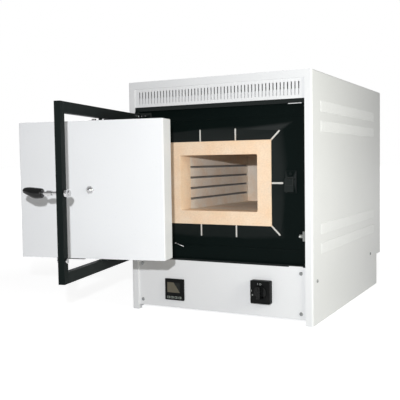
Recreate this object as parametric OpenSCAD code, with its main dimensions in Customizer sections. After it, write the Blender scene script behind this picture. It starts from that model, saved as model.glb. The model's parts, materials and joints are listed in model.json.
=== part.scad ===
// Bench jewellery kiln: a fibre muffle in a white sheet-metal case, with a side-hung door
// that swings on a black yoke while a short link keeps its hot face turned away.

/* [Case] */
// Width over the side panels
case_w = 436; // [400:4:480]
// Depth of the upper part of the case
case_d = 580; // [540:5:640]
// Height of the case
case_h = 520; // [505:5:560]
// How much less deep the case is below the step at the back
step_d = 40; // [20:5:60]
// Height of the step at the back
step_z = 81; // [60:1:100]
// Thickness of the case sheet
sheet = 1.5; // [1:0.1:2]
// Outer bend radius of the case edges
bend_r = 3.5; // [2:0.5:5]
// Width of the white column on each side of the front
column_w = 16; // [12:1:22]
// Depth of the column's inner return
return_d = 14; // [12:1:18]
// Height of the white rail above the grille
top_rail_h = 16; // [10:1:24]
// Height of the panel's lower edge above the floor
floor_gap = 11; // [6:1:20]

/* [Louvres] */
// Distance from the last louvre to the back of the case
louvre_rear = 73; // [50:1:150]
// Height of a louvre band
louvre_h = 22; // [14:1:26]
// Number of louvres in a band
louvre_count = 45; // [30:1:76]
// How far a louvre stands out of the side panel
louvre_out = 1.3; // [0.8:0.1:2]
// Distance from the front to the first louvre
louvre_y = 54; // [40:1:60]
// Heights of the two lower bands' centres
louvre_low_z = [154, 194.5]; // [130:0.5:220]
// Distances of the two upper bands' centres from the top
louvre_high_z = [112, 71]; // [50:0.5:140]

/* [Front] */
// Height of the control panel's upper edge
panel_top = 119.5; // [112:0.5:125]
// Distance of the control panel behind the columns
panel_inset = 4; // [2:0.5:6]
// Distance of the grille's lower edge from the top of the case
grille_drop = 57; // [50:1:65]
// Distance between the centres of two grille slots
slot_pitch = 7.9; // [6:0.1:8]
// Width of a grille slot
slot_w = 2.4; // [1.5:0.1:3]
// Height of a grille slot
slot_h = 27; // [16:1:30]
// Thickness of the black front plate
plate_t = 1.5; // [1:0.1:2]
// Height of the plate's raised border above its flat middle
border_top = 34; // [28:0.5:37]
// Height of the plate's raised border below its flat middle
border_low = 34.5; // [28:0.5:40]
// How far the borders stand in front of the middle
border_out = 1.4; // [1:0.1:2]
// Width of the raised border at the plate's sides
border_side = 9; // [6:0.5:9]
// Length of an expansion slot
relief_len = 26; // [15:1:32]
// Width of an expansion slot
relief_w = 4; // [2.5:0.5:5]
// Distance between the two expansion slots above and below the opening
relief_gap = 85; // [60:1:110]

/* [Muffle] */
// Width of the chamber opening
mouth_w = 186; // [160:2:196]
// Height of the chamber opening
mouth_h = 122; // [108:2:130]
// Width of the fibre collar
collar_w = 249; // [230:1:260]
// Height of the fibre collar
collar_h = 181; // [165:1:190]
// Depth of the fibre collar
collar_d = 48; // [40:1:56]
// How far the collar stands out of the black plate
collar_out = 1.5; // [1:0.1:1.9]
// Distance from the case front to the chamber's back wall
chamber_back = 385; // [340:5:400]
// Thickness of the chamber boards
board_t = 25; // [20:1:28]
// Number of grooves in each side wall
groove_count = 4; // [3:1:4]
// Distance between two grooves
groove_pitch = 24.2; // [22:0.2:26]
// Radius of a groove
groove_r = 3.6; // [3:0.1:6]
// Radius of the heating coil in its groove
coil_r = 2.8; // [2:0.1:4.4]
// Width of the steel jacket round the insulation
jacket_w = 344; // [320:1:360]
// Distance from the chamber boards to the jacket's back
rear_fill = 60; // [40:5:80]

/* [Door] */
// Distance of the hinge axis from the left column
hinge_in = 13.3; // [12:0.1:15]
// Gap between the shut yoke and the right column
yoke_gap = 9; // [6:0.1:14]
// Distance of the yoke's upper edge from the grille
yoke_drop = 16.5; // [13:0.5:18]
// Distance of the yoke's lower edge from the control panel
yoke_rise = 8; // [4:0.5:12]
// Gap between the shut leaf and the fibre collar
door_gap = 0.5; // [0.5:0.1:1.5]
// Thickness of the yoke's tube
yoke_t = 12; // [10:0.5:12]
// Height of the yoke's upper and lower arms
arm_h = 20; // [16:0.5:20]
// Width of the yoke's outer bar
bar_w = 15; // [12:0.5:16]
// Wall of the yoke's tube
tube_wall = 1.5; // [1:0.1:2]
// Angle by which the door stands open
door_open = 78; // [30:1:100]
// Gap between the hinge bar and the leaf
leaf_near = 26.4; // [24:0.1:34]
// Gap between the leaf and the outer bar
leaf_far = 24.3; // [22:0.1:34]
// Gap between the leaf and the lower arm
leaf_gap_low = 3; // [2.5:0.5:6]
// Gap between the link and the upper arm
link_gap = 1.1; // [1:0.1:3]
// Thickness of the door leaf
leaf_t = 42; // [32:1:42]
// Distance from the leaf's middle to its pivot
leaf_off = 16; // [10:0.5:20]
// Angle by which the open leaf is turned to the case front
leaf_turn = 10.6; // [5:0.1:15]
// Sheet of the leaf
leaf_sheet = 1.2; // [0.8:0.1:1.6]
// Place of the link's fixed pivot seen from the hinge axis
link_fixed = [9.5, 9.5]; // [9:0.1:10]
// Place of the link's pin seen from the leaf's pivot
link_pin = [9.7, 7]; // [6:0.1:10]

/* [Handle] */
// Length of the black grip
grip_len = 39; // [30:1:46]
// Largest diameter of the grip
grip_d = 20; // [18:0.5:24]
// Diameter of the grip's end on the shaft
grip_root_d = 17; // [14:0.5:20]
// Diameter of the grip's rounded tip
grip_tip_d = 11; // [10:0.5:16]
// How far the tip stands above the shaft's centre line
grip_lift = 4.5; // [0:0.5:5]
// Distance from the bar to the grip
grip_gap = 30; // [18:1:34]
// Diameter of the handle's shaft
shaft_d = 6; // [5:0.5:9]
// Radius of the latch cam
cam_r = 8; // [6:0.5:8.5]
// Offset of the latch cam from the shaft
cam_off = 5; // [3:0.5:5.5]

/* [Controls] */
// Distance of the two instruments from the case's middle
control_x = 106; // [80:0.5:110]
// Height of the controller's centre
controller_z = 52.5; // [46:0.5:70]
// Size of the square controller bezel
bezel = 48; // [44:1:52]
// How far the bezel stands out of the panel
bezel_out = 4; // [4:0.5:9]
// Height of the main switch's centre
switch_z = 64.3; // [46:0.1:70]
// Width and height of the main switch plate
switch_plate = [44, 48.5]; // [40:0.5:52]
// How far the switch plate stands out of the panel
switch_out = 14; // [5:0.5:16]
// Diameter of the switch knob
knob_d = 28; // [22:1:32]
// Travel of a controller key
key_travel = 0.6; // [0.4:0.1:0.8]

/* [Hidden] */
$fn = 48;

eps = 0.1;
fit = 0.3;
slide_fit = 0.1;
turn_fit = 0.05;
half_w = case_w / 2;
half_in = half_w - column_w;
inner_w = case_w - 2 * sheet - 2 * slide_fit;
front_w = 2 * (half_in - slide_fit);
lower_d = case_d - step_d;
rear_y = case_d - 2 * sheet;
lower_rear_y = lower_d - sheet;
shelf_z = panel_top + fit;
louvre_len = case_d - louvre_y - louvre_rear;
louvre_pitch = louvre_len / louvre_count;
louvre_z = concat(louvre_low_z, [for (d = louvre_high_z) case_h - d]);
louvre_low = 0.2;
grille_z = case_h - grille_drop;
slot_count = floor((front_w - 16) / slot_pitch);
plate_y = return_d;
border_y = plate_y - border_out;
flat_low = panel_top + border_low;
flat_high = grille_z - border_top;
chamber_z = (flat_low + flat_high) / 2;
collar_y = plate_y - collar_out;
collar_back = collar_y + collar_d;
board_gap = 0.2;
chamber_front = collar_back + board_gap;
board_back = chamber_back + board_t;
jacket_t = 1.2;
jacket_front = plate_y + plate_t + fit;
jacket_back = board_back + rear_fill;
fill_w = jacket_w - 2 * jacket_t - 2 * fit;
fill_low = flat_low + jacket_t + fit;
fill_high = flat_high - jacket_t - fit;
fill_back = jacket_back - jacket_t - fit;
wall_x = mouth_w / 2;
outer_x = wall_x + board_t;
outer_low = chamber_z - mouth_h / 2 - board_t;
outer_high = chamber_z + mouth_h / 2 + board_t;
groove_depth = 2.4;
thermo_r = 4;
thermo_z = chamber_z + 30;

hinge_x = hinge_in - half_in;
hinge_y = collar_y - door_gap - leaf_t / 2;
hinge_bar_w = 12;
pin_r = 4;
pin_len = 14;
yoke_len = 2 * half_in - hinge_in - yoke_gap;
yoke_top = grille_z - yoke_drop;
yoke_low = panel_top + yoke_rise;
yoke_back = hinge_y + yoke_t / 2;
door_z = (yoke_top + yoke_low) / 2;
bar_mid = yoke_len - bar_w / 2;
window_top = yoke_top - arm_h;
window_low = yoke_low + arm_h;
link_w = 6;
link_t = 2.4;
link_top = window_top - link_gap;
link_z = link_top - link_t;
link_pin_r = 2.5;
link_eye_r = 3.4;
boss_r = 3.8;
pivot_r = 3.5;
pivot_in = 7.5;
pivot_plate_t = 1.2;
leaf_top = link_z - fit - pivot_plate_t;
leaf_low = window_low + leaf_gap_low;
leaf_h = leaf_top - leaf_low;
leaf_z = (leaf_top + leaf_low) / 2;
leaf_w = yoke_len - bar_w - leaf_far - leaf_near - hinge_bar_w / 2;
pivot_s = hinge_bar_w / 2 + leaf_near + leaf_w / 2 + leaf_off;
leaf_r = 2;
bracket_t = 3;
bracket_r = 6.5;
foot_w = 30;
foot_t = 2.4;
bolt_r = 3;
bolt_head_r = 4.6;
bolt_z = yoke_low + 41;

grip_front = yoke_t / 2 + grip_gap;
grip_end = grip_front + grip_len;
grip_bore = grip_len * 0.6;
grip_rings = [[2, grip_root_d / 2, 0], [15, grip_d / 2, 0], [27, 0.4 * grip_d, 0.6 * grip_lift]];
sleeve_from = yoke_t / 2 + 12;
sleeve_r = shaft_d / 2 + 1.8;
shaft_back = yoke_t / 2 + 9.5;
keeper_w = 19.5;
keeper_t = 2.5;
keeper_to = hinge_x + yoke_len - bar_w - 0.5;
keeper_from = keeper_to - keeper_w;
lip_y = yoke_back + keeper_t;
lip_t = 2.3;
switch_pin_r = 1.5;
switch_x = hinge_x + yoke_len - 1.7;
switch_mid = yoke_low + 56;
screw_r = 3.8;
screw_head = 2;
screw_hole = 2.2;
screw_x = half_in - 10.5;
screw_z = [floor_gap + 12.5, panel_top - 12.5];
side_screw_y = [27, lower_d - 70];
side_screw_z = step_z + 9;
tray_side = side_screw_z + 12;
tray_top = floor_gap + sheet;
gland_r = 8;
gland_x = 120;
gland_z = 50;

// Place of a point of the open yoke, and of the open leaf, in the case's frame
function on_arm(s, k) = [
    hinge_x + s * cos(door_open) + k * sin(door_open),
    hinge_y - s * sin(door_open) + k * cos(door_open)
];
function turned(p, a) = [p[0] * cos(a) - p[1] * sin(a), p[0] * sin(a) + p[1] * cos(a)];

link_from = [hinge_x + link_fixed[0], hinge_y + link_fixed[1]];
link_to = on_arm(pivot_s, 0) + turned(link_pin, leaf_turn);
link_len = norm(link_to - link_from);
link_angle = atan2(link_to[1] - link_from[1], link_to[0] - link_from[0]);

// The origin is the middle of the whole outline with the door open
leaf_corner = turned([leaf_r - leaf_w / 2 - leaf_off, leaf_t / 2 - leaf_r], leaf_turn);
ring_edges = [for (g = grip_rings) on_arm(bar_mid, -grip_front - g[0])[1] - g[1] * sin(door_open)];
tip_edge = on_arm(bar_mid, grip_tip_d / 2 - grip_end)[1] - grip_tip_d / 2;
low_x = on_arm(pivot_s, 0)[0] + leaf_corner[0] - leaf_r;
high_x = half_w + max(louvre_out, screw_head);
low_y = min(min(ring_edges), tip_edge);
high_y = case_d;
mid = [(low_x + high_x) / 2, (low_y + high_y) / 2];

module place() translate([-mid[0], -mid[1], 0]) children();
module on_yoke() translate([hinge_x, hinge_y, 0]) rotate(-door_open) children();
module on_leaf() on_yoke() translate([pivot_s, 0, 0]) rotate(door_open + leaf_turn) children();
module on_handle() on_yoke() translate([bar_mid, 0, door_z]) rotate([90, 0, 0]) children();
module mirrored_x() {
    children();
    mirror([1, 0, 0]) children();
}

// A box given by its lowest and highest corner
module span(a, b) translate(a) cube(b - a);

// A bar along Y with its lower front end at the given point
module rod_y(p, r, len) translate(p) rotate([-90, 0, 0]) cylinder(h = len, r = r);

// A flat outline with round corners, centred on the origin
module round_rect(w, h, r) {
    square([w - 2 * r, h], center = true);
    square([w, h - 2 * r], center = true);
    for (x = [-1, 1], y = [-1, 1]) translate([x * (w / 2 - r), y * (h / 2 - r)]) circle(r);
}

// A plate in the XZ plane: its front is at y and it is t deep
module front_slab(w, h, t, y, z, r) translate([0, y, z]) rotate([-90, 0, 0])
    linear_extrude(t) round_rect(w, h, r);

// A pan-head screw with a cross slot, pointing out of the front
module pan_screw(r) difference() {
    union() {
        cylinder(h = screw_head / 2, r = r);
        translate([0, 0, screw_head / 2]) cylinder(h = screw_head / 2, r1 = r, r2 = 0.72 * r);
    }
    for (a = [0, 90]) rotate(a) translate([-0.55 * r, -0.11 * r, 0.45 * screw_head])
        cube([1.1 * r, 0.22 * r, screw_head]);
}

// Outer cover: two sides and a top folded from one sheet, with columns and a rail in front
module cover_outline() intersection() {
    translate([0, 0, -eps]) linear_extrude(case_h + 2 * eps) cover_plan();
    translate([0, case_d, 0]) rotate([90, 0, 0]) linear_extrude(case_d) cover_front();
}
module cover_plan() {
    translate([-half_w, bend_r]) square([case_w, case_d - bend_r]);
    translate([-half_w + bend_r, 0]) square([case_w - 2 * bend_r, case_d]);
    for (x = [-1, 1]) translate([x * (half_w - bend_r), bend_r]) circle(bend_r);
}
module cover_front() {
    translate([-half_w, 0]) square([case_w, case_h - bend_r]);
    translate([-half_w + bend_r, 0]) square([case_w - 2 * bend_r, case_h]);
    for (x = [-1, 1]) translate([x * (half_w - bend_r), case_h - bend_r]) circle(bend_r);
}
module louvre_band(z) translate([half_w - sheet / 2, louvre_y, z - louvre_h / 2])
    linear_extrude(louvre_h) polygon(concat(
        [[0, louvre_len], [0, 0], [sheet / 2 + louvre_low, 0]],
        [for (i = [0:louvre_count - 1], e = [[0.62, louvre_out], [0.8, louvre_out], [0.8, louvre_low]])
            [sheet / 2 + e[1], (i + e[0]) * louvre_pitch]],
        [[sheet / 2 + louvre_low, louvre_len]]
    ));
module outer_cover() color("whitesmoke") {
    rail_z = case_h - top_rail_h;
    difference() {
        union() {
            difference() {
                cover_outline();
                span([-half_w + sheet, sheet, -eps], [half_w - sheet, case_d + eps, case_h - sheet]);
                span([-half_in, -eps, -2 * eps], [half_in, 2 * sheet, rail_z]);
            }
            mirrored_x() for (z = louvre_z) louvre_band(z);
            mirrored_x() span([half_in, sheet / 2, 0], [half_in + sheet, return_d, rail_z + sheet]);
            span([-half_in, sheet / 2, rail_z], [half_in, return_d, rail_z + sheet]);
        }
        span([-half_w - eps, lower_d, -2 * eps], [half_w + eps, case_d + eps, step_z]);
        mirrored_x() for (y = side_screw_y) translate([half_w - 2 * sheet, y, side_screw_z])
            rotate([0, 90, 0]) cylinder(h = 3 * sheet, r = screw_hole);
    }
}

// Base tray that closes the control space from below
tray_vent = [90, 120];
tray_vent_pitch = 50;
module base_tray() color("silver") {
    edge = inner_w / 2;
    front = return_d + 2;
    back = lower_rear_y - fit;
    difference() {
        union() {
            span([-edge, front, floor_gap], [edge, back, tray_top]);
            mirrored_x() span([edge - sheet, front, floor_gap], [edge, back, tray_side]);
        }
        for (x = [-1, 1], y = [tray_vent[1]:tray_vent_pitch:back - tray_vent_pitch])
            translate([x * tray_vent[0], y, floor_gap - eps]) cylinder(h = sheet + 2 * eps, r = 4);
        mirrored_x() for (y = side_screw_y) translate([edge - 2 * sheet, y, side_screw_z])
            rotate([0, 90, 0]) cylinder(h = 3 * sheet, r = screw_hole);
    }
}

// Control panel with its cut-outs
module control_panel() color("whitesmoke") difference() {
    union() {
        span([-front_w / 2, panel_inset, floor_gap], [front_w / 2, panel_inset + sheet, panel_top]);
        for (z = [floor_gap, panel_top - sheet]) span([-front_w / 2, panel_inset, z],
            [front_w / 2, return_d, z + sheet]);
    }
    translate([-control_x, 0, controller_z]) front_hole(bezel - 3 + slide_fit, bezel - 3 + slide_fit);
    rod_y([control_x, 0, switch_z], neck_r + 2 * slide_fit, return_d);
    for (x = [-1, 1], z = screw_z) rod_y([x * screw_x, 0, z], screw_hole, return_d / 2);
}
module front_hole(w, h) span([-w / 2, -eps, -h / 2], [w / 2, return_d / 2, h / 2]);

// Slotted grille and the white flange that stands behind the lower half of its slots
module front_grille() color("whitesmoke") {
    top = case_h - top_rail_h - slide_fit;
    slot_z = (grille_z + top) / 2;
    difference() {
        span([-front_w / 2, 2, grille_z], [front_w / 2, 2 + sheet, top]);
        for (i = [0:slot_count - 1]) translate([(i - (slot_count - 1) / 2) * slot_pitch, 0, slot_z])
            front_hole(slot_w, slot_h);
    }
    span([-front_w / 2, 2, grille_z], [front_w / 2, return_d, grille_z + sheet]);
    span([-front_w / 2, return_d - sheet, grille_z], [front_w / 2, return_d, slot_z]);
}

// Back of the case above the step, with two rows of vents
vent_w = 4;
vent_h = 22;
vent_pitch = 12;
module upper_rear_panel() color("whitesmoke") {
    top = case_h - sheet - slide_fit;
    difference() {
        span([-inner_w / 2, rear_y, step_z], [inner_w / 2, rear_y + sheet, top]);
        for (z = [louvre_z[0], louvre_z[3]], i = [-12:12])
            translate([i * vent_pitch, rear_y - eps, z - vent_h / 2]) cube([vent_w, 2 * sheet, vent_h]);
    }
    span([-inner_w / 2, lower_d, step_z], [inner_w / 2, rear_y + sheet, step_z + sheet]);
}

// Back of the control space, with the hole for the supply gland
module lower_rear_panel() color("whitesmoke") difference() {
    span([-inner_w / 2, lower_rear_y, floor_gap], [inner_w / 2, lower_d, shelf_z]);
    rod_y([gland_x, lower_rear_y - eps, gland_z], gland_r + slide_fit, 2 * sheet);
    for (i = [3:15]) translate([gland_x - i * vent_pitch, lower_rear_y - eps, gland_z - vent_h / 2])
        cube([vent_w, 2 * sheet, vent_h]);
}

// Black front plate: folded lips, raised borders and the slots that let it grow when hot
module relief_slot(a, x, z) translate([x, 0, z]) rotate([0, a, 0]) {
    span([-relief_w / 2, 0, -4], [relief_w / 2, 8, relief_len - relief_w / 2]);
    rod_y([0, 0, relief_len - relief_w / 2], relief_w / 2, 8);
}
module front_plate() color([0.1, 0.15, 0.14]) {
    low = panel_top + slide_fit;
    high = grille_z - slide_fit;
    cut_w = collar_w + 2 * fit;
    cut_h = collar_h + 2 * fit;
    difference() {
        union() {
            span([-front_w / 2, plate_y, low], [front_w / 2, plate_y + plate_t, high]);
            for (z = [[low, flat_low], [flat_high, high]]) span([-front_w / 2, border_y, z[0]],
                [front_w / 2, plate_y + eps, z[1]]);
            mirrored_x() span([front_w / 2 - border_side, border_y, low],
                [front_w / 2, plate_y + eps, high]);
            span([-front_w / 2, 2, high - plate_t], [front_w / 2, plate_y, high]);
            span([-front_w / 2, 2, high - 9], [front_w / 2, 2 + plate_t, high]);
            span([-front_w / 2, panel_inset, low], [front_w / 2, plate_y, low + plate_t]);
            span([-front_w / 2, panel_inset, low], [front_w / 2, panel_inset + plate_t, low + 4]);
        }
        span([-cut_w / 2, -eps, chamber_z - cut_h / 2], [cut_w / 2, 2 * plate_y, chamber_z + cut_h / 2]);
        translate([0, plate_y - 3, chamber_z]) {
            for (x = [-1, 1]) {
                relief_slot(0, x * relief_gap / 2, cut_h / 2);
                relief_slot(180, x * relief_gap / 2, -cut_h / 2);
                relief_slot(90 * x, x * cut_w / 2, 0);
                relief_slot(45 * x, x * cut_w / 2, cut_h / 2);
                relief_slot(135 * x, x * cut_w / 2, -cut_h / 2);
            }
        }
    }
}

// Shelf between the control space and the muffle, and the rails that carry the jacket
module chamber_shelf() color("silver")
    span([-inner_w / 2, plate_y + plate_t + fit, shelf_z], [inner_w / 2, rear_y - fit, shelf_z + sheet]);
rail_x = 100;
rail_w = 30;
rail_t = 2;
module jacket_rails() color("silver") mirrored_x() {
    low = shelf_z + sheet;
    front = jacket_front + rail_w;
    back = jacket_back - rail_w;
    for (z = [low, flat_low - rail_t]) span([rail_x, front, z], [rail_x + rail_w, back, z + rail_t]);
    span([rail_x, front, low], [rail_x + rail_t, back, flat_low]);
}

// Steel jacket round the insulation
module inner_jacket() color("lightgray") difference() {
    span([-jacket_w / 2, jacket_front, flat_low], [jacket_w / 2, jacket_back, flat_high]);
    span([-jacket_w / 2 + jacket_t, jacket_front - eps, flat_low + jacket_t],
        [jacket_w / 2 - jacket_t, jacket_back - jacket_t, flat_high - jacket_t]);
    rod_y([0, jacket_back - 2 * jacket_t, thermo_z], thermo_r + fit, 3 * jacket_t);
}

// Fibre insulation: the white board behind the slots, and the boards round the chamber
fibre = [0.95, 0.94, 0.9];
hot_fibre = [0.95, 0.84, 0.7];
module front_insulation() color(fibre) difference() {
    span([-fill_w / 2, jacket_front, fill_low], [fill_w / 2, collar_back, fill_high]);
    span([-collar_w / 2 - fit, 0, chamber_z - collar_h / 2 - fit],
        [collar_w / 2 + fit, 2 * collar_back, chamber_z + collar_h / 2 + fit]);
}
module fill(x0, z0, x1, z1) color(fibre)
    span([x0, chamber_front, z0], [x1, board_back, z1]);
module top_insulation() fill(-fill_w / 2, outer_high + board_gap, fill_w / 2, fill_high);
module bottom_insulation() fill(-fill_w / 2, fill_low, fill_w / 2, outer_low - board_gap);
module left_insulation() fill(-fill_w / 2, outer_low, -outer_x - board_gap, outer_high);
module right_insulation() fill(outer_x + board_gap, outer_low, fill_w / 2, outer_high);
module rear_insulation() color(fibre) difference() {
    span([-fill_w / 2, board_back + board_gap, fill_low], [fill_w / 2, fill_back, fill_high]);
    rod_y([0, board_back - eps, thermo_z], thermo_r + slide_fit, fill_back);
}

// Chamber: collar, grooved side walls, roof, hearth and back wall
module chamber_collar() color(hot_fibre) difference() {
    span([-collar_w / 2, collar_y, chamber_z - collar_h / 2],
        [collar_w / 2, collar_back, chamber_z + collar_h / 2]);
    translate([0, -eps, 0]) front_slab(mouth_w, mouth_h, 2 * collar_back, 0, chamber_z, 3);
}
function groove_z(i) = chamber_z - 1.5 + (i - (groove_count - 1) / 2) * groove_pitch;
module side_wall() color(hot_fibre) difference() {
    span([wall_x, chamber_front, chamber_z - mouth_h / 2],
        [outer_x, chamber_back, chamber_z + mouth_h / 2]);
    for (i = [0:groove_count - 1]) {
        rod_y([wall_x + groove_depth, chamber_front - eps, groove_z(i)], groove_r,
            chamber_back - chamber_front + 2 * eps);
    }
}
module chamber_right_wall() side_wall();
module chamber_left_wall() mirror([1, 0, 0]) side_wall();
module lid_board(z) color(hot_fibre)
    span([-outer_x, chamber_front, z], [outer_x, chamber_back, z + board_t - board_gap]);
module chamber_roof() lid_board(chamber_z + mouth_h / 2 + board_gap);
module chamber_hearth() lid_board(chamber_z - mouth_h / 2 - board_t);
module chamber_back_wall() color(hot_fibre) difference() {
    span([-outer_x, chamber_back + board_gap, outer_low], [outer_x, board_back, outer_high]);
    rod_y([0, chamber_back - eps, thermo_z], thermo_r + slide_fit, 2 * board_t);
}
coil_in = 4;
module coils() color("dimgray") for (i = [0:groove_count - 1])
    rod_y([wall_x + groove_depth, chamber_front + coil_in, groove_z(i) - groove_r + coil_r + slide_fit],
        coil_r, chamber_back - chamber_front - coil_in);
module right_heating_coils() coils();
module left_heating_coils() mirror([1, 0, 0]) coils();

// Thermocouple through the back wall, and its head behind the jacket
thermo_in = 45;
head_r = 16;
head_len = 22;
module thermocouple() color("gainsboro")
    rod_y([0, chamber_back - thermo_in, thermo_z], thermo_r, jacket_back + 2 - chamber_back + thermo_in);
module thermocouple_head() color("silver") difference() {
    union() {
        rod_y([0, jacket_back + fit, thermo_z], head_r, head_len);
        span([-head_r * 0.4, jacket_back + fit, thermo_z],
            [head_r * 0.4, jacket_back + 0.8 * head_len, thermo_z + head_len]);
    }
    rod_y([0, jacket_back - eps, thermo_z], thermo_r + slide_fit, 4);
}

// Controller in the panel, with a window and four sprung keys
key_w = 7.4;
key_h = 5.4;
key_out = 1;
key_x = [-15.3, -6, 4, 14];
key_z = -18;
window_w = 33;
window_h = 23;
window_x = -2.2;
window_z = 4.2;
face_y = panel_inset - bezel_out;
body_d = 95;
module at_controller() translate([-control_x, face_y, controller_z]) children();
module controller_body() color("dimgray") {
    body = bezel - 3;
    translate([-control_x, 0, controller_z])
        span([-body / 2, panel_inset, -body / 2], [body / 2, panel_inset + body_d, body / 2]);
}
module controller_bezel() color([0.08, 0.09, 0.09]) at_controller() difference() {
    front_slab(bezel, bezel, bezel_out - slide_fit, 0, 0, 1.5);
    span([window_x - window_w / 2 - fit, -1, window_z - window_h / 2 - fit],
        [window_x + window_w / 2 + fit, 2.5, window_z + window_h / 2 + fit]);
    for (x = key_x) span([x - key_w / 2 - fit, -1, key_z - key_h / 2 - fit],
        [x + key_w / 2 + fit, 3, key_z + key_h / 2 + fit]);
}
module controller_window() color([0.35, 0.33, 0.28]) at_controller()
    span([window_x - window_w / 2, 0.8, window_z - window_h / 2],
        [window_x + window_w / 2, 2.4, window_z + window_h / 2]);
module key(i) color("darkgray") at_controller()
    span([key_x[i] - key_w / 2, -key_out, key_z - key_h / 2],
        [key_x[i] + key_w / 2, 3 - key_travel - 2 * slide_fit, key_z + key_h / 2]);
module controller_key_1() key(0);
module controller_key_2() key(1);
module controller_key_3() key(2);
module controller_key_4() key(3);

// Main switch: body behind the panel, plate in front and a turning knob
switch_face = panel_inset - switch_out;
stem_r = 4;
neck_r = 11;
switch_d = 46;
module at_switch(y) translate([control_x, y, switch_z]) children();
module switch_body() color("black") at_switch(panel_inset + sheet + slide_fit) difference() {
    union() {
        span([-switch_plate[0] / 2, 0, -switch_plate[1] / 2],
            [switch_plate[0] / 2, switch_d, switch_plate[1] / 2]);
        rod_y([0, -sheet - slide_fit, 0], neck_r, 2 * sheet);
    }
    rod_y([0, -2 * sheet, 0], stem_r + turn_fit, 12);
}
module switch_cover() color([0.08, 0.08, 0.08]) difference() {
    at_switch(0) front_slab(switch_plate[0], switch_plate[1], switch_out - slide_fit, switch_face, 0, 2);
    at_switch(switch_face) rod_y([0, -1, 0], knob_d / 2 + 0.5, 3);
    at_switch(switch_face) rod_y([0, 0, 0], stem_r + turn_fit, 2 * switch_out);
}
module switch_knob() color([0.15, 0.15, 0.15]) at_switch(switch_face) {
    rod_y([0, -1, 0], knob_d / 2, 2.7);
    rod_y([0, 0, 0], stem_r, switch_out + 8);
    difference() {
        span([-4, -11, -knob_d / 2 + 1], [4, 0, knob_d / 2 - 1]);
        span([-0.6, -12, 4], [0.6, -10, knob_d / 2]);
    }
}

// Parts in the control space
sink = [-20, 330];
sink_w = 90;
sink_h = 60;
sink_t = 6;
fin_d = 20;
fin_t = 2;
fin_pitch = 7;
relay = [46, 23, 58];
module power_relay() color("dimgray") translate([sink[0], sink[1], tray_top]) {
    span([0, 0, 0], [sink_w, sink_t, sink_h]);
    for (z = [0:fin_pitch:sink_h - fin_t]) span([0, sink_t, z], [sink_w, sink_t + fin_d, z + fin_t]);
    translate([(sink_w - relay[0]) / 2, -relay[1], sink_h - relay[2] + 3]) cube(relay);
}
terminal = [70, 22, 22];
pole_pitch = 11.2;
module terminal_block() color("ivory") translate([gland_x - 30, lower_d - 100, tray_top]) difference() {
    cube(terminal);
    for (x = [7:pole_pitch:terminal[0]]) translate([x, terminal[1] / 2, terminal[2] / 2])
        cylinder(h = terminal[2], r = 3);
}
nut_r = 12;
cord_bore_r = 4.5;
module nut_y(y, len) translate([0, y, 0]) rotate([-90, 0, 0]) cylinder(h = len, r = nut_r, $fn = 6);
module cable_gland() color("dimgray") translate([gland_x, lower_rear_y, gland_z]) difference() {
    union() {
        rod_y([0, -nut_r, 0], gland_r, 2 * nut_r);
        nut_y(sheet, 6);
        rod_y([0, sheet + 6, 0], 10, 10);
        nut_y(-5, 5);
    }
    rod_y([0, -20, 0], cord_bore_r, 60);
}

// Door switch on the plate's right border, with its sprung plunger
door_switch_d = 9;
door_switch_h = 20;
door_switch_w = 6.5;
door_guide_r = 3.2;
module door_switch() color("lightgray") difference() {
    wall = half_in - slide_fit;
    union() {
        span([wall - door_switch_w, border_y - door_switch_d, switch_mid - door_switch_h / 2],
            [wall, border_y, switch_mid + door_switch_h / 2]);
        span([switch_x - door_guide_r, border_y - door_switch_d, switch_mid - door_guide_r],
            [wall - door_switch_w + eps, border_y, switch_mid + door_guide_r]);
    }
    rod_y([switch_x, border_y - door_switch_d - 1, switch_mid], switch_pin_r + turn_fit, door_switch_d);
}
module door_switch_plunger() color("white") {
    tip = yoke_back + fit;
    rod_y([switch_x, tip, switch_mid], switch_pin_r, border_y - door_switch_d + 0.7 - tip);
}

// Keeper on the right of the plate, which the latch cam goes behind
lip_low = door_z - 13;
lip_high = door_z + 14.5;
module keeper() color([0.1, 0.12, 0.12]) {
    screws = [door_z - 10, door_z + 24];
    middle = (keeper_from + keeper_to) / 2;
    difference() {
        span([keeper_from - 2, plate_y - 2, door_z - 16], [keeper_to + keeper_t, plate_y, door_z + 30]);
        for (z = screws) rod_y([middle, plate_y - 3, z], screw_hole, 4);
    }
    span([keeper_from, lip_y, lip_high - keeper_t], [keeper_to, plate_y - 1, lip_high]);
    span([keeper_from, lip_y, lip_low], [keeper_to, lip_y + lip_t, lip_high]);
    span([keeper_from, lip_y, lip_low], [keeper_from + keeper_t, plate_y - 1, lip_high]);
    for (z = screws) rod_y([middle, plate_y - 4, z], 3.4, 2);
}

// Hinge brackets with their pins and cap nuts
module hinge_bracket(s) {
    edge = door_z + s * ((yoke_top - yoke_low) / 2 + 0.5);
    function up(h) = edge + s * h;
    module layer(h0, h1) translate([0, 0, min(up(h0), up(h1))]) linear_extrude(abs(h1 - h0)) children();
    layer(0, bracket_t) {
        translate([hinge_x, hinge_y]) circle(bracket_r);
        translate([hinge_x - bracket_r, hinge_y]) square([2 * bracket_r, border_y - hinge_y]);
    }
    layer(-pin_len - bracket_t, bracket_t) translate([hinge_x - bracket_r, border_y - foot_t])
        square([foot_w, foot_t]);
    layer(-pin_len, bracket_t) translate([hinge_x, hinge_y]) circle(pin_r);
    layer(bracket_t, 2 * bracket_t) translate([hinge_x, hinge_y]) circle(6);
    layer(2 * bracket_t, 3 * bracket_t) translate([hinge_x, hinge_y]) circle(4.4);
    for (x = [6, 17]) rod_y([hinge_x + x, border_y - 4, up(-8)], 2.6, 2);
}
module hinge_bracket_top() color([0.2, 0.24, 0.24]) hinge_bracket(1);
module hinge_bracket_bottom() color([0.2, 0.24, 0.24]) hinge_bracket(-1);

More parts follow.
